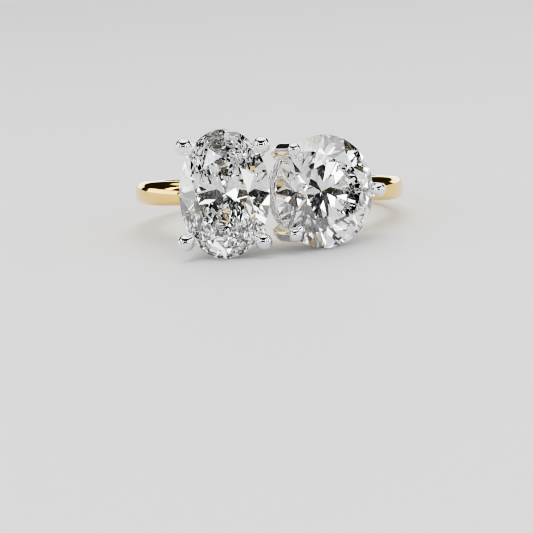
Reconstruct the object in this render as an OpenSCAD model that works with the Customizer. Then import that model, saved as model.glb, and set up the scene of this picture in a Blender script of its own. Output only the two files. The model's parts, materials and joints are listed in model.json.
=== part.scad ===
// Toi et moi ring: a yellow gold shank carries two white metal baskets, one
// with an oval brilliant and one with a round brilliant, edge to edge.
// The ring lies on its side. The origin is the middle of the finger hole,
// +Z is up, and the stones face -Y.

/* [Shank] */
// Inner diameter of the finger hole, US size 7
finger_d = 17.3; // [15:0.1:21]
// Width of the shank along the finger
shank_w = 1.8; // [1.5:0.05:3]
// Thickness of the shank at the back of the finger
back_t = 1.0; // [0.8:0.05:1.6]
// Thickness of the shank under the stones
front_t = 2.0; // [1.7:0.05:2.6]
// Radius of the shank's outer shoulders
shoulder_r = 0.56; // [0.3:0.02:0.58]
// Radius of the gentle dome across the shank's outer face
dome_r = 2.6; // [2.4:0.1:9]
// Radius of the rounded edges of the finger hole
bore_edge_r = 0.28; // [0.1:0.02:0.3]

/* [Stones] */
// Width of the oval stone
oval_w = 6.15; // [5:0.05:7.5]
// Length of the oval stone, along the finger
oval_l = 8.7; // [7:0.1:10.5]
// Diameter of the round stone
round_d = 7.7; // [6:0.1:9]
// Lean of the oval stone about the finger, in degrees to the right
oval_lean = -2; // [-12:1:6]
// Lean of the round stone about the finger, in degrees to the right
round_lean = 34; // [18:1:36]
// Place of the gap between the stones, to the right of the shank's middle
meet_x = 1.46; // [-1:0.02:2.5]
// Gap between the edges of the two stones
stone_gap = 0.3; // [0.2:0.02:0.6]
// Metal left between the finger and the point of the round stone
culet_floor = 0.7; // [0.5:0.05:1.5]

/* [Settings] */
// Diameter of the wire of the oval claws
claw_d = 0.86; // [0.7:0.02:1]
// Diameter of the ball at the end of each oval claw
ball_d = 1.18; // [0.9:0.02:1.4]
// Diameter of the thicker wire of the round claws
round_claw_d = 1; // [0.8:0.02:1.1]
// Diameter of the wire of the gallery rails
rail_d = 0.64; // [0.5:0.02:0.8]
// Distance of the upper rail inside the stone's edge
upper_inset = 0.26; // [0.2:0.02:0.4]
// Distance of the lower rail inside the stone's edge
lower_inset = 0.46; // [0.3:0.02:0.6]
// Diameter of the feet that stand on the shank
foot_d = 0.8; // [0.6:0.01:1]
// Turn of the four oval claws round their stone, from its short axis
oval_claw_turn = 43; // [35:0.5:52]
// Turn of the inner round claws from the side that faces the oval stone
round_claw_turn = 47; // [40:0.5:60]

/* [Clearances] */
// Gap between a stone and the claws that hold it
seat_gap = 0.03; // [0.02:0.01:0.08]
// Gap between a stone and the upper rail under it
rail_gap = 0.07; // [0.06:0.01:0.12]
// Gap between the feet and the shank
solder_gap = 0.03; // [0.02:0.01:0.06]
// Gap round the stones' points in the shank
pocket_gap = 0.12; // [0.05:0.01:0.3]

/* [Hidden] */
$fn = 96;

GOLD = [0.90, 0.74, 0.46];
WHITE_METAL = [0.84, 0.84, 0.86];
CLEAR = [0.86, 0.91, 0.95];

// Shank: the outer circle is centred nearer the stones than the finger hole
finger_r = finger_d / 2;
outer_r = (finger_d + back_t + front_t) / 2;
outer_shift = (front_t - back_t) / 2;
dome_x = outer_r - dome_r;
shoulder_y = shank_w / 2 - shoulder_r;
shoulder_x = dome_x + sqrt(pow(dome_r - shoulder_r, 2) - pow(shoulder_y, 2));
shoulder_turn = asin(shoulder_y / (dome_r - shoulder_r));

// Cut of a brilliant, as shares of the half width of its girdle
TABLE_SHARE = 0.57;
CROWN_ANGLE = 34.5;
PAVILION_ANGLE = 40.75;
GIRDLE_SHARE = 0.03;
STAR_SHARE = 0.5;
LOWER_HALF_SHARE = 0.77;
MAIN_COUNT = 8;
STEP = 360 / MAIN_COUNT;
// Points round the girdle for each main facet
EDGE_COUNT = 4;

star_r = TABLE_SHARE * cos(STEP / 2) + STAR_SHARE * (1 - TABLE_SHARE * cos(STEP / 2));
star_n = GIRDLE_SHARE + (1 - star_r * cos(STEP / 2)) * tan(CROWN_ANGLE);
table_n = GIRDLE_SHARE + (1 - TABLE_SHARE) * tan(CROWN_ANGLE);
lower_r = 1 - LOWER_HALF_SHARE;
lower_n = GIRDLE_SHARE + (1 - lower_r * cos(STEP / 2)) * tan(PAVILION_ANGLE);
culet_n = GIRDLE_SHARE + tan(PAVILION_ANGLE);
scallop = (1 - cos(STEP / 4)) / cos(STEP / 4);
crown_dip = scallop * (star_n - GIRDLE_SHARE) / (1 - star_r);
pavilion_dip = scallop * (lower_n - GIRDLE_SHARE) / (1 - lower_r);

// Claws: places as distances outside the stone's edge and above its girdle
ball_r = ball_d / 2;
claw_r = claw_d / 2;
round_claw_r = round_claw_d / 2;
rail_r = rail_d / 2;
oval_tip = [0.46, 0.36];
inner_tip = [0.02, 0.48];
outer_tip = [0.18, 0.48];
beak_r = 0.34;
beak_reach = 0.46;
beak_lift = 0.06;
shoulder_drop = 0.3;
// Depth of the seat cut for the stone's edge into a claw's side
notch = 0.1;
// Depth to which a claw's side and a rail's side run into each other
weld = 0.12;
// Depth to which the oval's lower rail is filed to sit on the shank
filed = 0.1;

// Sides of the claws' wire, of the balls and of a rail's section, and of a rail's turn
WIRE_SIDES = 12;
BALL_SIDES = 20;
RAIL_SIDE_COUNT = 10;
RAIL_TURN_COUNT = 48;

// Wire centre lines of the rails, inside the stone's edge
upper_line = upper_inset + rail_r;
lower_line = lower_inset + rail_r;

// Places of the girdle centres, as [right of the finger, towards the stones]
function lean_x(lean) = [cos(lean), -sin(lean)];
function lean_n(lean) = [sin(lean), cos(lean)];
half_w = oval_w / 2;
half_l = oval_l / 2;
round_r = round_d / 2;
round_x = meet_x + stone_gap / 2 + round_r * cos(round_lean);
round_culet_x = round_x - round_r * culet_n * sin(round_lean);
round_culet_h = sqrt(pow(finger_r + culet_floor, 2) - pow(round_culet_x, 2));
round_at = [round_x, round_culet_h + round_r * culet_n * cos(round_lean)];
meet_h = round_at.y + round_r * sin(round_lean);
oval_at = [meet_x - stone_gap / 2 - half_w * cos(oval_lean), meet_h + half_w * sin(oval_lean)];

// Depth of the shank's outer face under a girdle's centre
function shank_depth(at, lean) =
    let (from_centre = at - [0, outer_shift])
    let (along = from_centre * lean_n(lean))
    along - sqrt(along * along - from_centre * from_centre + outer_r * outer_r);
oval_low = shank_depth(oval_at, oval_lean) - rail_r + filed;
round_low = shank_depth(round_at, round_lean) - rail_r;

// Depth of an upper rail, just clear of the stone's pavilion
function rail_depth(half) =
    GIRDLE_SHARE * half + upper_line * tan(PAVILION_ANGLE) + (rail_r + rail_gap) / cos(PAVILION_ANGLE);
oval_high = rail_depth(half_w);
round_high = rail_depth(round_r);

// Rest on a level surface: on the oval's tip, the round's edge and the back of the shank
function unit(v) = v / norm(v);
function girdle_tip(at, lean, half, half_across) =
    let (low = at - GIRDLE_SHARE * half_across * lean_n(lean))
    [low.x, -low.y, -half];
function shank_touch(up) =
    let (side = -unit([up.x, up.y]))
    let (middle = [0, -outer_shift, -shoulder_y])
    middle + shoulder_x * [side.x, side.y, 0] - shoulder_r * up;
function rest_up(up, passes) =
    let (a = girdle_tip(oval_at, oval_lean, half_l, half_w))
    let (b = girdle_tip(round_at, round_lean, round_r, round_r))
    let (c = shank_touch(up))
    passes == 0 ? up : rest_up(unit(cross(b - a, c - a)), passes - 1);
up = rest_up(unit([0, -0.15, 1]), 12);

// Turns the ring from its own frame, finger hole upright, to how it lies
module lying() {
    rotate([atan2(up.y, up.z), -atan2(up.x, norm([up.y, up.z])), 0]) children();
}

// Puts a head's own frame, table up and long side along Y, on the ring
module on_head(at, lean) {
    translate([at.x, -at.y, 0]) rotate([90, 0, lean]) children();
}

// Half of the shank's section, from its axis to the domed outer face
module shank_section() {
    wedge = 2 * outer_r;
    translate([0, -shank_w / 2]) square([shoulder_x, shank_w]);
    for (side = [-1, 1]) translate([shoulder_x, side * shoulder_y]) circle(r = shoulder_r);
    intersection() {
        translate([dome_x, 0]) circle(r = dome_r, $fn = 192);
        polygon([
            [dome_x, 0],
            [dome_x + wedge * cos(shoulder_turn), wedge * sin(shoulder_turn)],
            [dome_x + wedge * cos(shoulder_turn), -wedge * sin(shoulder_turn)]
        ]);
    }
}

// Everything inside the shank's outer face
module shank_body() {
    translate([0, -outer_shift, 0]) rotate_extrude($fn = 192) intersection() {
        shank_section();
        translate([0, -shank_w]) square([2 * outer_r, 2 * shank_w]);
    }
}

// What the baskets' feet are filed to, so that they sit on the crown of the shank
module shank_crown() {
    translate([0, -outer_shift, 0])
        cylinder(h = shank_w, r = outer_r + solder_gap, center = true, $fn = 192);
}

// Hole for the finger, with rounded edges
module finger_hole() {
    edge_y = shank_w / 2 - bore_edge_r;
    cylinder(h = 2 * shank_w, r = finger_r, center = true, $fn = 192);
    for (side = [0, 1]) mirror([0, 0, side]) rotate_extrude($fn = 192) difference() {
        translate([finger_r - bore_edge_r, edge_y]) square([2 * bore_edge_r, 2 * bore_edge_r]);
        translate([finger_r + bore_edge_r, edge_y]) circle(r = bore_edge_r);
    }
}

// Yellow gold shank, cleared round the points of both stones
module shank() {
    color(GOLD) lying() difference() {
        shank_body();
        finger_hole();
        on_head(oval_at, oval_lean) brilliant(half_w, half_l, pocket_gap);
        on_head(round_at, round_lean) brilliant(round_r, round_r, pocket_gap);
    }
}

// Points of one ring of a cut stone of unit half width
function level(count, turn, r, n) =
    [for (i = [0 : count - 1]) let (t = turn + i * 360 / count) [r * cos(t), r * sin(t), n]];
function girdle_level(n, dip) =
    [for (i = [0 : MAIN_COUNT * EDGE_COUNT - 1])
        let (t = i * STEP / EDGE_COUNT)
        [cos(t), sin(t), n - (i % 2) * dip]];

// Brilliant cut with its girdle's middle at the origin, grown outward by grow
module brilliant(half_x, half_y, grow = 0) {
    unit_points = concat(
        level(MAIN_COUNT, 0, TABLE_SHARE, table_n),
        level(MAIN_COUNT, STEP / 2, star_r, star_n),
        girdle_level(GIRDLE_SHARE, crown_dip),
        girdle_level(-GIRDLE_SHARE, -pavilion_dip),
        level(MAIN_COUNT, STEP / 2, lower_r, -lower_n),
        [[0, 0, -culet_n]]
    );
    high = half_x + grow / cos(PAVILION_ANGLE);
    points = [for (p = unit_points) [p.x * (half_x + grow), p.y * (half_y + grow), p.z * high]];
    rim = MAIN_COUNT * EDGE_COUNT;
    star = MAIN_COUNT;
    top = 2 * MAIN_COUNT;
    low = top + rim;
    pav = low + rim;
    tip = pav + MAIN_COUNT;
    faces = concat(
        [[for (k = [MAIN_COUNT - 1 : -1 : 0]) k]],
        [for (k = [0 : MAIN_COUNT - 1]) [k, (k + 1) % MAIN_COUNT, star + k]],
        [for (k = [0 : MAIN_COUNT - 1])
            let (before = (k + MAIN_COUNT - 1) % MAIN_COUNT)
            [k, star + k, top + EDGE_COUNT * k, star + before]],
        [for (k = [0 : MAIN_COUNT - 1]) for (h = [0, 2])
            let (e = EDGE_COUNT * k + h)
            [star + k, top + (e + 2) % rim, top + e + 1, top + e]],
        [for (e = [0 : rim - 1])
            let (f = (e + 1) % rim)
            [top + e, top + f, low + f, low + e]],
        [for (k = [0 : MAIN_COUNT - 1]) for (h = [0, 2])
            let (e = EDGE_COUNT * k + h)
            [pav + k, low + e, low + e + 1, low + (e + 2) % rim]],
        [for (k = [0 : MAIN_COUNT - 1])
            let (before = (k + MAIN_COUNT - 1) % MAIN_COUNT)
            [tip, pav + before, low + EDGE_COUNT * k, pav + k]]
    );
    polyhedron(points, faces, convexity = 2);
}

module oval_stone() {
    color(CLEAR) lying() on_head(oval_at, oval_lean) brilliant(half_w, half_l);
}

module round_stone() {
    color(CLEAR) lying() on_head(round_at, round_lean) brilliant(round_r, round_r);
}

// Round wire between two points
module wire(from, to, from_r, to_r) {
    hull() {
        translate(from) sphere(r = from_r, $fn = WIRE_SIDES);
        translate(to) sphere(r = to_r, $fn = WIRE_SIDES);
    }
}

// One claw through places from its tip down, +X pointing out from the stone's edge,
// with a ball on its tip and a beak over the stone
module claw(places, wire_r, tip_r) {
    path = [for (p = places) [p.x, 0, p.y]];
    beak_at = path[0] + [-beak_reach, 0, beak_lift];
    translate(path[0]) sphere(r = tip_r, $fn = BALL_SIDES);
    wire(path[0], beak_at, claw_r, beak_r);
    for (i = [1 : len(path) - 1]) wire(path[i - 1], path[i], wire_r, wire_r);
}

// Claw of the oval, which bends inward at the girdle and under the upper rail
module oval_claw() {
    claw([
        oval_tip,
        [claw_r - notch, -shoulder_drop],
        [claw_r - upper_inset - 2 * weld, -oval_high - claw_r],
        [claw_r - lower_inset - 2 * weld, -oval_low]
    ], claw_r, ball_r);
}

// Claw of the round, straight down to the upper rail
module round_claw(tip) {
    claw([
        tip,
        [tip.x, -round_high],
        [round_claw_r - lower_inset - 2 * weld, -round_low]
    ], round_claw_r, round_claw_r);
}

// Rail of round wire that keeps one distance inside a stone's edge; its rings of points
// are turned half a side against each other
module rail(half_x, half_y, inside, depth) {
    points = [for (i = [0 : RAIL_TURN_COUNT - 1])
        let (t = i * 360 / RAIL_TURN_COUNT)
        let (out = unit([cos(t) / half_x, sin(t) / half_y]))
        let (middle = [half_x * cos(t), half_y * sin(t)] - inside * out)
        for (j = [0 : RAIL_SIDE_COUNT - 1])
            let (u = (j + i % 2 / 2) * 360 / RAIL_SIDE_COUNT)
            let (place = middle + rail_r * cos(u) * out)
            [place.x, place.y, rail_r * sin(u) - depth]];
    faces = [for (i = [0 : RAIL_TURN_COUNT - 1], j = [0 : RAIL_SIDE_COUNT - 1])
        let (here = i * RAIL_SIDE_COUNT)
        let (next = (i + 1) % RAIL_TURN_COUNT * RAIL_SIDE_COUNT)
        let (k = (j + 1) % RAIL_SIDE_COUNT)
        let (side = [here + j, here + k, next + k, next + j])
        each [[side[0], side[1], side[3 - i % 2]], [side[1 - i % 2], side[2], side[3]]]];
    polyhedron(points, faces, convexity = 4);
}

// Foot inside a lower rail, straight towards the finger's axis
module foot(at, lean, out, low) {
    start = at + out * lean_x(lean) - low * lean_n(lean);
    end = unit(start) * (finger_r + bore_edge_r);
    hull() {
        translate([start.x, -start.y, 0]) sphere(d = foot_d, $fn = BALL_SIDES);
        translate([end.x, -end.y, 0]) sphere(d = foot_d, $fn = BALL_SIDES);
    }
}

// White metal basket of the oval stone: two rails, four claws and a foot
module oval_setting() {
    color(WHITE_METAL) lying() difference() {
        union() {
            on_head(oval_at, oval_lean) {
                rail(half_w, half_l, upper_line, oval_high);
                rail(half_w, half_l, lower_line, oval_low);
                for (x = [-1, 1], y = [-1, 1]) {
                    edge = [x * half_w * cos(oval_claw_turn), y * half_l * sin(oval_claw_turn)];
                    out = [edge.x / pow(half_w, 2), edge.y / pow(half_l, 2)];
                    translate([edge.x, edge.y, 0]) rotate([0, 0, atan2(out.y, out.x)])
                        oval_claw();
                }
            }
            foot(oval_at, oval_lean, foot_d / 2 + lower_line - half_w, oval_low);
        }
        shank_crown();
        on_head(oval_at, oval_lean) brilliant(half_w, half_l, seat_gap);
    }
}

// White metal basket of the round stone: two rails, three claws and two feet
module round_setting() {
    color(WHITE_METAL) lying() difference() {
        union() {
            on_head(round_at, round_lean) {
                rail(round_r, round_r, upper_line, round_high);
                rail(round_r, round_r, lower_line, round_low);
                for (side = [-1, 1]) rotate([0, 0, 180 + side * round_claw_turn])
                    translate([round_r, 0, 0]) round_claw(inner_tip);
                translate([round_r, 0, 0]) round_claw(outer_tip);
            }
            for (side = [-1, 1])
                foot(round_at, round_lean, side * (round_r - lower_line - foot_d / 2), round_low);
        }
        shank_crown();
        on_head(round_at, round_lean) brilliant(round_r, round_r, seat_gap);
    }
}

shank();
oval_setting();
round_setting();
oval_stone();
round_stone();
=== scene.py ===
"""Toi et moi ring: a yellow gold band, with an oval and a round brilliant in white gold."""

import json
import math
from collections import Counter

import bmesh
import bpy
from mathutils import Matrix, Vector


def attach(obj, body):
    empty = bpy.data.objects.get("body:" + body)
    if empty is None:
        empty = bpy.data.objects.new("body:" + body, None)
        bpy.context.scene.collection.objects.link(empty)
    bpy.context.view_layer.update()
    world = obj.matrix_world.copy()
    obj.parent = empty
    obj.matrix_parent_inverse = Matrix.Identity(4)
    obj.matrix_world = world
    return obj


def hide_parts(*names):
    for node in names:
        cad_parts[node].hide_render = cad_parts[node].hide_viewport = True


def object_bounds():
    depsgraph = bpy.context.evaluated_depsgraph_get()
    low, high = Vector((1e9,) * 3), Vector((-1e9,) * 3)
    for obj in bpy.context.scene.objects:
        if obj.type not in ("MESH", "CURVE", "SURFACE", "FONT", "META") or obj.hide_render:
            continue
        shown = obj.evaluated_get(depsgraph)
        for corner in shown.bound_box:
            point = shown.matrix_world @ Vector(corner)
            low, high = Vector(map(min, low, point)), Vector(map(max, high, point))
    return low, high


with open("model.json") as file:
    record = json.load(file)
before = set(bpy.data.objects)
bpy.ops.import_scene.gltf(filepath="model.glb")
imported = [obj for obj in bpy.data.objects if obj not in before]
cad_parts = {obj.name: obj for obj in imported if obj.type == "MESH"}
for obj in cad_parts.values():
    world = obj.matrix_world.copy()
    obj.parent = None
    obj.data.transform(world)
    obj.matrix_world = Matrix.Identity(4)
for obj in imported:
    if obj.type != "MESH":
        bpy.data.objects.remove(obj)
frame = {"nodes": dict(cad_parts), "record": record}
cad_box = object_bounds()
nodes = frame["nodes"]


# ---------------------------------------------------------------------------
# The band: 18 carat yellow gold, cast and polished, a little thicker under the
# stones than at the back of the finger. Its crown is bored out under the
# stones, so that their points hang free.
# ---------------------------------------------------------------------------

# The ring's sizes are in millimetres, and each piece is made in a frame of its own
MM = 0.001
finger_axis = Vector(frame["record"]["mounts"][0]["axis"]).normalized()
band_right = Vector((0, 1, 0)).cross(finger_axis).normalized()
band_back = finger_axis.cross(band_right)
# Leads from the band's own frame, with Z along the finger and the stones at -Y,
# to how the ring lies
lying = Matrix((band_right, band_back, finger_axis)).transposed().to_4x4() @ Matrix.Scale(MM, 4)


def reach(points, way):
    """Lowest and highest place of some points along one way."""
    return min(p[way] for p in points), max(p[way] for p in points)


band_points = [lying.inverted() @ v.co for v in nodes["shank"].data.vertices]
front, back = reach(band_points, 1)
lower, upper = reach(band_points, 2)
finger_r = min(math.hypot(p.x, p.y) for p in band_points)
band_r = (back - front) / 2
band_shift = -(back + front) / 2
band_half = (upper - lower) / 2
BAND_STEPS = 288
BAND_CREASE = math.radians(35)
DOME_RISE = 0.15
DOME_ROUND = 0.3
EDGE_ROUND = 0.4
ROUND_STEPS = 8
SIDE_ROUND = 0.56
SIDE_ROUND_STEPS = 14
POINT_GAP = 0.12
# Points of the band that are nearer than this are one point
TOUCHING = 1e-4


def rounded(bm, radius, height, offset, segments):
    """Rounds the corners of a flat section that lie at one radius and height."""
    corners = [v for v in bm.verts if abs(v.co.x - radius) < TOUCHING
               and abs(abs(v.co.z) - height) < TOUCHING]
    bmesh.ops.bevel(bm, geom=corners, offset=offset, affect="VERTICES",
                    segments=segments, profile=0.5, material=-1)


def to_piece(bm, name, matrix):
    """Makes an object of a bmesh whose mesh is put in its place."""
    bm.transform(matrix)
    bmesh.ops.recalc_face_normals(bm, faces=bm.faces)
    mesh = bpy.data.meshes.new(name)
    bm.to_mesh(mesh)
    bm.free()
    piece = bpy.data.objects.new(name, mesh)
    bpy.context.collection.objects.link(piece)
    return piece


def applied(piece):
    """Turns a piece's modifiers into its mesh."""
    graph = bpy.context.evaluated_depsgraph_get()
    mesh = bpy.data.meshes.new_from_object(piece.evaluated_get(graph))
    mesh.materials.clear()
    piece.modifiers.clear()
    piece.data = mesh


def bored(piece, cutter):
    """Takes the shape of another object out of a piece."""
    cut = piece.modifiers.new("bored", "BOOLEAN")
    cut.operation = "DIFFERENCE"
    cut.solver = "MANIFOLD"
    cut.object = cutter
    applied(piece)
    bpy.data.objects.remove(cutter)


# Cut of a brilliant, as shares of the half width of its girdle
TABLE = 0.57
GIRDLE = 0.03
CROWN_SLOPE = math.tan(math.radians(34.5))
PAVILION_SLOPE = math.tan(math.radians(40.75))
STAR_LENGTH = 0.5
LOWER_HALF = 0.77
MAINS = 8
GIRDLE_STEPS = 128
ROUGH_LENGTH = 2.4
ON_THE_CUT = 1e-6


def around(turn, r, height):
    """A point of the cut, its turn in main facets."""
    angle = 2 * math.pi * turn / MAINS
    return Vector((r * math.cos(angle), r * math.sin(angle), height))


def facet(bm, a, b, c):
    """Grinds a flat facet through three points, and polishes off what is outside."""
    slope = (b - a).cross(c - a).normalized()
    if slope.dot(a) < 0:
        slope.negate()
    cut = bmesh.ops.bisect_plane(bm, geom=bm.verts[:] + bm.edges[:] + bm.faces[:],
                                 dist=ON_THE_CUT, plane_co=a, plane_no=slope, clear_outer=True)
    rim = [e for e in cut["geom_cut"] if isinstance(e, bmesh.types.BMEdge)]
    bmesh.ops.edgeloop_fill(bm, edges=rim)


def brilliant():
    """A brilliant of unit half width, ground from a rod: table, crown, girdle and pavilion."""
    bm = bmesh.new()
    bmesh.ops.create_cone(bm, cap_ends=True, segments=GIRDLE_STEPS, radius1=1, radius2=1,
                          depth=ROUGH_LENGTH)
    half_turn = math.cos(math.pi / MAINS)
    star_r = TABLE * half_turn + STAR_LENGTH * (1 - TABLE * half_turn)
    star_h = GIRDLE + (1 - star_r * half_turn) * CROWN_SLOPE
    table_h = GIRDLE + (1 - TABLE) * CROWN_SLOPE
    low_r = 1 - LOWER_HALF
    low_h = -GIRDLE - (1 - low_r * half_turn) * PAVILION_SLOPE
    culet = Vector((0, 0, -GIRDLE - PAVILION_SLOPE))
    facet(bm, around(0, TABLE, table_h), around(1, TABLE, table_h), around(2, TABLE, table_h))
    for k in range(MAINS):
        side = around(k + 0.25, 1, 0) - around(k - 0.25, 1, 0)
        facet(bm, around(k, 1, GIRDLE), around(k, 1, GIRDLE) + side, around(k, TABLE, table_h))
        facet(bm, around(k, 1, -GIRDLE), around(k, 1, -GIRDLE) + side, culet)
    for k in range(MAINS):
        star, low = around(k + 0.5, star_r, star_h), around(k + 0.5, low_r, low_h)
        facet(bm, around(k, TABLE, table_h), around(k + 1, TABLE, table_h), star)
        for near in (k, k + 1):
            facet(bm, star, around(near, 1, GIRDLE), around(k + 0.5, 1, GIRDLE))
            facet(bm, low, around(near, 1, -GIRDLE), around(k + 0.5, 1, -GIRDLE))
    return bm


# A point this near the widest one, in metres, is on the side of the girdle
ON_THE_SIDE = 1e-7


def head_of(stone):
    """Where a stone sits: a frame of millimetres at the middle of its girdle, with X
    across, Y along the finger and Z out through the table, and its half width and
    half length."""
    area = Counter()
    for f in stone.data.polygons:
        area[tuple(round(c, 2) for c in f.normal)] += f.area
    up = Vector(area.most_common(1)[0][0])
    across = finger_axis.cross(up).normalized()
    up = across.cross(finger_axis)
    turn = Matrix((across, finger_axis, up))
    points = [turn @ v.co for v in stone.data.vertices]
    (left, right), (near, far) = reach(points, 0), reach(points, 1)
    edge_h = [p.z for p in points if p.x > right - ON_THE_SIDE]
    middle = Vector(((left + right) / 2, (near + far) / 2, sum(edge_h) / len(edge_h)))
    seat = turn.transposed()
    return (Matrix.Translation(seat @ middle) @ seat.to_4x4() @ Matrix.Scale(MM, 4),
            (right - left) / 2 / MM, (far - near) / 2 / MM)


def stone_shape(name, head, half_x, half_y, grow=0.0):
    """A brilliant stretched to its place, or grown by a gap as a cutter for its seat."""
    high = half_x + grow / math.cos(math.atan(PAVILION_SLOPE))
    stretch = Matrix.Diagonal((half_x + grow, half_y + grow, high, 1))
    return to_piece(brilliant(), name, head @ stretch)


oval_head, oval_half_x, oval_half_y = head_of(nodes["oval_stone"])
round_head, round_half, round_half_y = head_of(nodes["round_stone"])


def make_band():
    """The band's section spun round the finger."""
    bm = bmesh.new()
    side_r = band_r - DOME_RISE
    section = [(finger_r, -band_half), (side_r, -band_half), (band_r, 0),
               (side_r, band_half), (finger_r, band_half)]
    bm.faces.new([bm.verts.new((r, 0, z)) for r, z in section])
    rounded(bm, finger_r, band_half, EDGE_ROUND, ROUND_STEPS)
    rounded(bm, band_r, 0, DOME_ROUND, ROUND_STEPS)
    rounded(bm, side_r, band_half, SIDE_ROUND, SIDE_ROUND_STEPS)
    bmesh.ops.delete(bm, geom=bm.faces[:], context="FACES_ONLY")
    bmesh.ops.spin(bm, geom=bm.verts[:] + bm.edges[:], cent=(0, 0, 0), axis=(0, 0, 1),
                   angle=2 * math.pi, steps=BAND_STEPS, use_merge=True)
    bmesh.ops.remove_doubles(bm, verts=bm.verts, dist=TOUCHING)
    # The outer face is centred nearer the stones than the finger hole is
    for v in bm.verts:
        outward = (math.hypot(v.co.x, v.co.y) - finger_r) / (band_r - finger_r)
        v.co.y -= band_shift * outward
    band = to_piece(bm, "gold_band", lying)
    bored(band, stone_shape("oval_point", oval_head, oval_half_x, oval_half_y, POINT_GAP))
    bored(band, stone_shape("round_point", round_head, round_half, round_half_y, POINT_GAP))
    band.data.shade_smooth()
    band.data.set_sharp_from_angle(angle=BAND_CREASE)
    return band


class Value:
    """The value of a socket. Sums and products with it are plain expressions."""

    def __init__(self, wiring, socket):
        self.wiring, self.socket = wiring, socket

    def maths(self, operation, other):
        return self.wiring.node("ShaderNodeMath", {"operation": operation}, {0: self, 1: other})

    def __add__(self, other):
        return self.maths("ADD", other)

    def __mul__(self, other):
        return self.maths("MULTIPLY", other)

    __radd__, __rmul__ = __add__, __mul__


class Wiring:
    """The nodes of a material, or of the air round the ring."""

    def __init__(self, owner):
        owner.use_nodes = True
        self.tree = owner.node_tree

    def node(self, kind, settings, sockets, output=0):
        """A new node, set up and then fed, as the value of one of its outputs."""
        node = self.tree.nodes.new(kind)
        for setting, value in settings.items():
            setattr(node, setting, value)
        for socket, value in sockets.items():
            self.plug(node.inputs[socket], value)
        return Value(self, node.outputs[output])

    def plug(self, socket, value):
        """Links a value to a socket, or sets a constant on it."""
        if isinstance(value, Value):
            self.tree.links.new(value.socket, socket)
        else:
            socket.default_value = value


class Finish(Wiring):
    """A material whose shader has constants and inputs that change over the surface."""

    def __init__(self, name, constants):
        self.material = bpy.data.materials.new(name)
        super().__init__(self.material)
        self.shader = self.tree.nodes["Principled BSDF"]
        for socket, value in constants.items():
            self.feed(socket, value)

    def feed(self, socket, value):
        self.plug(self.shader.inputs[socket], value)

    def noise(self, place, scale, detail, roughness=0.5):
        return self.node("ShaderNodeTexNoise", {}, {"Vector": place, "Scale": scale,
                                                    "Detail": detail, "Roughness": roughness})

    def between(self, value, low, high):
        """A share that runs from 0 to 1 as a value goes from low to high."""
        return self.node("ShaderNodeMapRange", {}, {"Value": value, "From Min": low,
                                                    "From Max": high})


# What polishing leaves: clouds of a deeper tone, soft ripples, and hairlines that
# show where their noise is high. How fine they are is counted to the metre, and
# how deep in metres.
CLOUD_FINENESS = 700.0
CLOUD_RANGE = (0.3, 0.7)
CLOUD_MATT = 0.05
RIPPLE_FINENESS = 420.0
RIPPLE_DEPTH = 4e-6
HAIR_RANGE = (0.58, 0.75)
HAIR_MATT = 0.10
HAIR_DEPTH = 1.2e-7


def polished_metal(name, colour, deep_colour, roughness, hair_fineness):
    """Hand polished gold: soft ripples, hairline scratches and a faint change of tone."""
    finish = Finish(name, {"Metallic": 1.0})
    place = finish.node("ShaderNodeTexCoord", {}, {}, "Object")
    cloud = finish.noise(place, CLOUD_FINENESS, detail=3.0)
    drawn = finish.node("ShaderNodeMapping", {}, {"Vector": place, "Scale": hair_fineness})
    hair = finish.between(finish.noise(drawn, 1.0, detail=4.0, roughness=0.7), *HAIR_RANGE)
    tone = finish.node("ShaderNodeMix", {"data_type": "RGBA"},
                       {"Factor": finish.between(cloud, *CLOUD_RANGE), "A": colour,
                        "B": deep_colour}, "Result")
    finish.feed("Base Color", tone)
    finish.feed("Roughness", roughness + CLOUD_MATT * cloud + HAIR_MATT * hair)
    ripple = finish.noise(place, RIPPLE_FINENESS, detail=1.0)
    height = ripple * RIPPLE_DEPTH + hair * HAIR_DEPTH
    bump = finish.node("ShaderNodeBump", {}, {"Height": height, "Strength": 1.0, "Distance": 1.0})
    finish.feed("Normal", bump)
    return finish.material


band = make_band()
band.data.materials.append(polished_metal(
    "polished_yellow_gold", colour=(0.98, 0.71, 0.22, 1), deep_colour=(0.94, 0.65, 0.19, 1),
    roughness=0.05, hair_fineness=(900.0, 900.0, 9000.0)))
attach(band, "root")
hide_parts("shank")


# ---------------------------------------------------------------------------
# The oval's basket: white gold wire. Two oval rails, four claws with balled
# ends that lie on the corners of the stone, and a foot, all soldered together
# and to the crown of the band.
# ---------------------------------------------------------------------------

# The rails: their wire, how far inside the stone's edge the upper and the lower
# one lie, and the upper one's gap from the pavilion
RAIL_R = 0.32
UPPER_INSET = 0.26
LOWER_INSET = 0.46
RAIL_GAP = 0.07
RAIL_SIDES = 20
FEWEST_BENDS = 12
BENDS_PER_MM = 5
# The claws: how deep they are let into the rails, and the beak that reaches from
# a tip over the stone
LET_IN = 0.24
BEAK_ROOT_R = 0.43
BEAK_END_R = 0.3
BEAK_REACH = 0.46
BEAK_LIFT = 0.06
WIRE_SIDES = 32
BALL_SIDES = 48
# The feet: their wire, and how far outside the finger hole it ends
FOOT_R = 0.4
FOOT_END = 0.4
# The solder that fills the corners between wires melted into one, and the gap
# round the stone in its seat
VOXEL = 0.044
SOLDER_FLOW = 0.5
SOLDER_PASSES = 5
SEAT_GAP = 0.012
BASKET_CREASE = math.radians(50)
# The oval's own claws: wire, ball, the ball's place outside the stone's edge and
# above its girdle, and the notch and depth of the shoulder under the girdle
OVAL_WIRE_R = 0.43
OVAL_BALL_R = 0.585
OVAL_TIP = (0.46, 0.36)
OVAL_CLAW_TURN = math.radians(43)
OVAL_NOTCH = 0.1
OVAL_SHOULDER = 0.3
# Depth to which the oval's lower rail is filed to sit on the band
OVAL_FILED = 0.1


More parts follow.
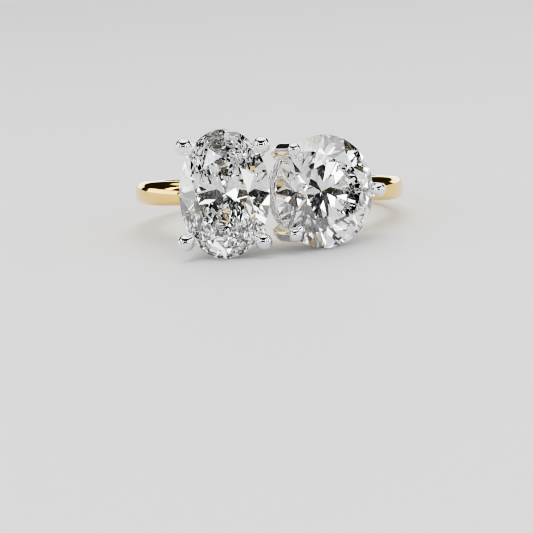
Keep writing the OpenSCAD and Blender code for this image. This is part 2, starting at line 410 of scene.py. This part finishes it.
def ball(bm, place, radius, sides):
    """A ball of metal."""
    bmesh.ops.create_uvsphere(bm, u_segments=sides, v_segments=sides // 2, radius=radius,
                              matrix=Matrix.Translation(place))


def rod(bm, start, end, start_r, end_r):
    """Round wire between two points, tapered, with a ball on its end."""
    way = end - start
    turn = way.to_track_quat("Z", "Y").to_matrix().to_4x4()
    bmesh.ops.create_cone(bm, cap_ends=True, segments=WIRE_SIDES, radius1=start_r, radius2=end_r,
                          depth=way.length, matrix=Matrix.Translation((start + end) / 2) @ turn)
    ball(bm, end, end_r, WIRE_SIDES)


def rail_arc(bm, centre, arc_r, start_angle, angle):
    """Rail wire bent along an arc that lies flat round a centre."""
    steps = max(FEWEST_BENDS, round(angle * arc_r * BENDS_PER_MM))
    turn = Matrix.Rotation(start_angle, 4, "Z")
    upright = Matrix.Rotation(math.pi / 2, 4, "X")
    ring = bmesh.ops.create_circle(bm, segments=RAIL_SIDES, radius=RAIL_R,
                                   matrix=Matrix.Translation(centre) @ turn
                                   @ Matrix.Translation((arc_r, 0, 0)) @ upright)
    edges = list({e for v in ring["verts"] for e in v.link_edges})
    whole = math.isclose(angle, 2 * math.pi)
    spun = bmesh.ops.spin(bm, geom=ring["verts"] + edges, cent=centre, axis=(0, 0, 1),
                          angle=angle, steps=steps, use_merge=whole)
    if not whole:
        last = [e for e in spun["geom_last"] if isinstance(e, bmesh.types.BMEdge)]
        bmesh.ops.edgeloop_fill(bm, edges=edges)
        bmesh.ops.edgeloop_fill(bm, edges=last)


def oval_rail(bm, half_x, half_y, height):
    """A rail along an oval drawn with four arcs."""
    c = math.cos(math.pi / 4)
    side_r = (half_y - half_x * (1 - c) / c) / (c - (1 - c) * (1 - c) / c)
    end_r = (half_x - side_r * (1 - c)) / c
    quarter = math.pi / 2
    for side, flip in ((1, 0), (-1, math.pi)):
        side_middle = Vector((side * (half_x - side_r), 0, height))
        end_middle = Vector((0, side * (half_y - end_r), height))
        rail_arc(bm, side_middle, side_r, flip - quarter / 2, quarter)
        rail_arc(bm, end_middle, end_r, flip + quarter / 2, quarter)


def claw(bm, edge, outward, places, wire_r, ball_r):
    """A claw through places from its tip down, given as distances outside the stone's
    edge and above its girdle: a ball on the tip, and a beak over the stone."""
    seat = Matrix.Translation((*edge, 0)) @ Matrix.Rotation(outward, 4, "Z")
    path = [seat @ Vector((out, 0, height)) for out, height in reversed(places)]
    beak = seat @ Vector((places[0][0] - BEAK_REACH, 0, places[0][1] + BEAK_LIFT))
    ball(bm, path[0], wire_r, WIRE_SIDES)
    for start, end in zip(path, path[1:]):
        rod(bm, start, end, wire_r, wire_r)
    ball(bm, path[-1], ball_r, BALL_SIDES)
    rod(bm, path[-1], beak, BEAK_ROOT_R, BEAK_END_R)


def rail_depth(half):
    """Depth of an upper rail, just clear of the stone's pavilion."""
    clear = (RAIL_R + RAIL_GAP) / math.cos(math.atan(PAVILION_SLOPE))
    return GIRDLE * half + (UPPER_INSET + RAIL_R) * PAVILION_SLOPE + clear


def crown_depth(head):
    """Depth of the band's crown under the middle of a stone."""
    centre = head.inverted() @ lying @ Vector((0, -band_shift, 0))
    return -centre.z - math.sqrt(band_r ** 2 - centre.x ** 2)


def foot(bm, head, out, depth):
    """A foot inside a lower rail, straight towards the finger and into the band."""
    finger = head.inverted() @ lying.translation
    finger.y = 0
    start = Vector((out, 0, -depth))
    end = finger + (start - finger).normalized() * (finger_r + FOOT_END)
    rod(bm, end, start, FOOT_R, FOOT_R)


def oval_edge(half_x, half_y, turn):
    """A place on an oval's edge and the way outward there."""
    x, y = half_x * math.cos(turn), half_y * math.sin(turn)
    return (x, y), math.atan2(y / half_y ** 2, x / half_x ** 2)


def basket_of(bm, name, head, half_x, half_y):
    """Melts a basket's wires into one, with solder in its corners, and cuts the seat."""
    basket = to_piece(bm, name, Matrix.Identity(4))
    melt = basket.modifiers.new("melt", "REMESH")
    melt.mode = "VOXEL"
    melt.voxel_size = VOXEL
    melt.use_smooth_shade = True
    flow = basket.modifiers.new("solder", "SMOOTH")
    flow.factor = SOLDER_FLOW
    flow.iterations = SOLDER_PASSES
    applied(basket)
    basket.data.transform(head)
    bored(basket, stone_shape("seat", head, half_x, half_y, SEAT_GAP))
    basket.data.shade_smooth()
    basket.data.set_sharp_from_angle(angle=BASKET_CREASE)
    return basket


white_gold = polished_metal(
    "polished_white_gold", colour=(0.86, 0.86, 0.88, 1), deep_colour=(0.78, 0.78, 0.80, 1),
    roughness=0.06, hair_fineness=(2500.0, 2500.0, 2500.0))

oval_upper = rail_depth(oval_half_x)
oval_lower = crown_depth(oval_head) - RAIL_R + OVAL_FILED
wires = bmesh.new()
for inset, depth in ((UPPER_INSET, oval_upper), (LOWER_INSET, oval_lower)):
    oval_rail(wires, oval_half_x - inset - RAIL_R, oval_half_y - inset - RAIL_R, -depth)
# From the ball past the shoulder to the upper and the lower rail
oval_places = [OVAL_TIP, (OVAL_WIRE_R - OVAL_NOTCH, -OVAL_SHOULDER),
               (OVAL_WIRE_R - UPPER_INSET - LET_IN, -oval_upper - OVAL_WIRE_R),
               (OVAL_WIRE_R - LOWER_INSET - LET_IN, -oval_lower)]
for side_x in (0, 1):
    for side_y in (-1, 1):
        turn = side_x * math.pi + side_y * OVAL_CLAW_TURN
        edge, outward = oval_edge(oval_half_x, oval_half_y, turn)
        claw(wires, edge, outward, oval_places, OVAL_WIRE_R, OVAL_BALL_R)
foot(wires, oval_head, LOWER_INSET + RAIL_R + FOOT_R - oval_half_x, oval_lower)
oval_basket = basket_of(wires, "oval_basket", oval_head, oval_half_x, oval_half_y)
oval_basket.data.materials.append(white_gold)
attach(oval_basket, "root")
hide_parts("oval_setting")


# ---------------------------------------------------------------------------
# The round's basket: the same white gold wire, with two round rails, two claws
# beside the oval and one at the outer side, and two feet. It leans outward, so
# its table faces away from the oval.
# ---------------------------------------------------------------------------

ROUND_WIRE_R = 0.5
ROUND_CLAW_TURN = 47
INNER_TIP = (0.02, 0.48)
OUTER_TIP = (0.18, 0.48)
round_upper = rail_depth(round_half)
round_lower = crown_depth(round_head) - RAIL_R
wires = bmesh.new()
for inset, depth in ((UPPER_INSET, round_upper), (LOWER_INSET, round_lower)):
    rail_arc(wires, Vector((0, 0, -depth)), round_half - inset - RAIL_R, 0, 2 * math.pi)
for turn, tip in ((180 - ROUND_CLAW_TURN, INNER_TIP), (180 + ROUND_CLAW_TURN, INNER_TIP),
                  (0, OUTER_TIP)):
    edge, outward = oval_edge(round_half, round_half, math.radians(turn))
    # Straight down from the tip, then in to the lower rail
    round_places = [tip, (tip[0], -round_upper),
                    (ROUND_WIRE_R - LOWER_INSET - LET_IN, -round_lower)]
    claw(wires, edge, outward, round_places, ROUND_WIRE_R, ROUND_WIRE_R)
for side_x in (-1, 1):
    foot(wires, round_head, side_x * (round_half - LOWER_INSET - RAIL_R - FOOT_R), round_lower)
round_basket = basket_of(wires, "round_basket", round_head, round_half, round_half_y)
round_basket.data.materials.append(white_gold)
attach(round_basket, "root")
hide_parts("round_setting")


# ---------------------------------------------------------------------------
# The stones: two brilliants, an oval and a round, set edge to edge. Each is
# ground in 57 facets and its girdle is left a fine matt.
# ---------------------------------------------------------------------------

GIRDLE_MATT = 0.22
# A face that leans no more than this from upright belongs to the girdle
GIRDLE_LEAN = 0.02

diamond = Finish("cut_diamond", {"Transmission Weight": 1.0, "IOR": 2.417, "Roughness": 0.0,
                                 "Base Color": (1.0, 1.0, 1.0, 1.0)})
girdle_share = diamond.node("ShaderNodeAttribute", {"attribute_name": "girdle"}, {}, "Fac")
diamond.feed("Roughness", girdle_share * GIRDLE_MATT)

for name, node, head, half_x, half_y in (
        ("oval_brilliant", "oval_stone", oval_head, oval_half_x, oval_half_y),
        ("round_brilliant", "round_stone", round_head, round_half, round_half_y)):
    stone = stone_shape(name, head, half_x, half_y)
    girdle = stone.data.attributes.new("girdle", "FLOAT", "FACE")
    table_way = head.col[2].to_3d().normalized()
    for f in stone.data.polygons:
        girdle.data[f.index].value = float(abs(f.normal.dot(table_way)) < GIRDLE_LEAN)
    stone.data.materials.append(diamond.material)
    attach(stone, "root")
    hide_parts(node)


# ---------------------------------------------------------------------------
# The studio: a plain pale floor, soft boxes and strips with dark gaps between
# them for the facets to mirror, and the camera at the photo's angle.
# ---------------------------------------------------------------------------

PALE = (0.86, 0.86, 0.85, 1)
FLOOR_HALF = 6.0
floor_mesh = bmesh.new()
bmesh.ops.create_grid(floor_mesh, x_segments=1, y_segments=1, size=FLOOR_HALF,
                      matrix=Matrix.Translation((0, 0, cad_box[0].z)))
floor = to_piece(floor_mesh, "floor", Matrix.Identity(4))
pale_floor = Finish("pale_floor", {"Base Color": PALE, "Roughness": 0.6,
                                   "Specular IOR Level": 0.2})
floor.data.materials.append(pale_floor.material)

BOX_RANGE = 0.5
WALL_RANGE = 2.0
WALL_BRIGHTNESS = 2.2
DAYLIGHT = (0.80, 0.90, 1.0)
WARM = (1.0, 0.94, 0.84)
NEUTRAL = (1.0, 1.0, 1.0)


def soft_box(name, turn, height, size, brightness, colour=NEUTRAL, distance=BOX_RANGE):
    """A soft box that faces the ring. Its turn is from the camera's side, and that and
    its height are in degrees."""
    turn, height = math.radians(turn), math.radians(height)
    place = distance * Vector((math.sin(turn) * math.cos(height),
                               -math.cos(turn) * math.cos(height), math.sin(height)))
    light = bpy.data.lights.new(name, "AREA")
    light.shape = "RECTANGLE"
    light.size, light.size_y = size
    light.energy = brightness * math.pi * size[0] * size[1]
    light.color = colour
    lamp = bpy.data.objects.new(name, light)
    lamp.location = place
    lamp.rotation_mode = "QUATERNION"
    lamp.rotation_quaternion = (-place).to_track_quat("-Z", "Y")
    lamp.visible_camera = False
    bpy.context.collection.objects.link(lamp)


CEILING_SPREAD = math.radians(80)
CEILING_TILT = math.radians(-20)
CEILING_BRIGHTNESS = 1.7
ceiling_light = bpy.data.lights.new("ceiling_box", "SUN")
ceiling_light.angle = CEILING_SPREAD
ceiling_light.energy = CEILING_BRIGHTNESS * math.pi * math.sin(CEILING_SPREAD / 2) ** 2
ceiling = bpy.data.objects.new("ceiling_box", ceiling_light)
ceiling.rotation_euler = (CEILING_TILT, 0, 0)
bpy.context.collection.objects.link(ceiling)
soft_box("over_box", turn=0, height=78, size=(0.40, 0.10), brightness=2.0)
soft_box("front_top_strip", turn=0, height=26, size=(0.30, 0.03), brightness=3.0)
soft_box("front_low_strip", turn=0, height=2, size=(0.30, 0.02), brightness=3.0)
soft_box("back_wall", turn=180, height=7, size=(3.6, 0.48), brightness=WALL_BRIGHTNESS,
         distance=WALL_RANGE)
for side, way, front_colour, middle_colour in (("left", -1, DAYLIGHT, WARM),
                                               ("right", 1, NEUTRAL, DAYLIGHT)):
    soft_box(side + "_wall", turn=way * 100, height=6, size=(1.6, 0.44),
             brightness=WALL_BRIGHTNESS, distance=WALL_RANGE)
    soft_box(side + "_front_strip", turn=way * 34, height=20, size=(0.07, 0.30),
             brightness=5.0, colour=front_colour)
    soft_box(side + "_middle_strip", turn=way * 62, height=24, size=(0.09, 0.30),
             brightness=5.0, colour=middle_colour)
    soft_box(side + "_side_strip", turn=way * 92, height=28, size=(0.08, 0.24),
             brightness=4.0)

# The air is dim, and past the floor the camera sees a pale wall, which throws no
# light on the ring
DIM = (0.62, 0.63, 0.65, 1)
DIM_STRENGTH = 0.05
world = bpy.data.worlds.new("studio")
air = Wiring(world)
dim_air = air.tree.nodes["Background"]
air.plug(dim_air.inputs["Color"], DIM)
air.plug(dim_air.inputs["Strength"], DIM_STRENGTH)
pale_wall = air.node("ShaderNodeBackground", {}, {"Color": PALE})
by_camera = air.node("ShaderNodeLightPath", {}, {}, "Is Camera Ray")
view = air.node("ShaderNodeMixShader", {},
                {0: by_camera, 1: Value(air, dim_air.outputs[0]), 2: pale_wall})
air.plug(air.tree.nodes["World Output"].inputs["Surface"], view)
bpy.context.scene.world = world
bpy.context.scene.view_settings.look = "AgX - High Contrast"

# Place, way and roll were found by fitting the ring's outline to the photo's
SENSOR = 36.0
FRAME_PIXELS = 533
FOCAL_PIXELS = 1485.45
CAMERA_PLACE = Vector((0.0113, -0.11128, 0.01802))
CAMERA_WAY = Vector((-0.1046, 0.9722, -0.2096))
CAMERA_ROLL = math.radians(-3.934)
lens = bpy.data.cameras.new("photo_camera")
lens.sensor_width = SENSOR
lens.lens = FOCAL_PIXELS * SENSOR / FRAME_PIXELS
lens.clip_start = 0.001
lens.clip_end = 10
camera = bpy.data.objects.new("photo_camera", lens)
camera.location = CAMERA_PLACE
camera.rotation_mode = "QUATERNION"
camera.rotation_quaternion = (CAMERA_WAY.to_track_quat("-Z", "Y")
                              @ Matrix.Rotation(CAMERA_ROLL, 4, "Z").to_quaternion())
bpy.context.collection.objects.link(camera)
bpy.context.scene.camera = camera

# Light has to pass many facets before it comes out of a stone again
cycles = bpy.context.scene.cycles
cycles.filter_width = 1.2
cycles.max_bounces = 32
cycles.transmission_bounces = 28
cycles.glossy_bounces = 12
cycles.transparent_max_bounces = 12
cycles.caustics_reflective = True
cycles.caustics_refractive = True
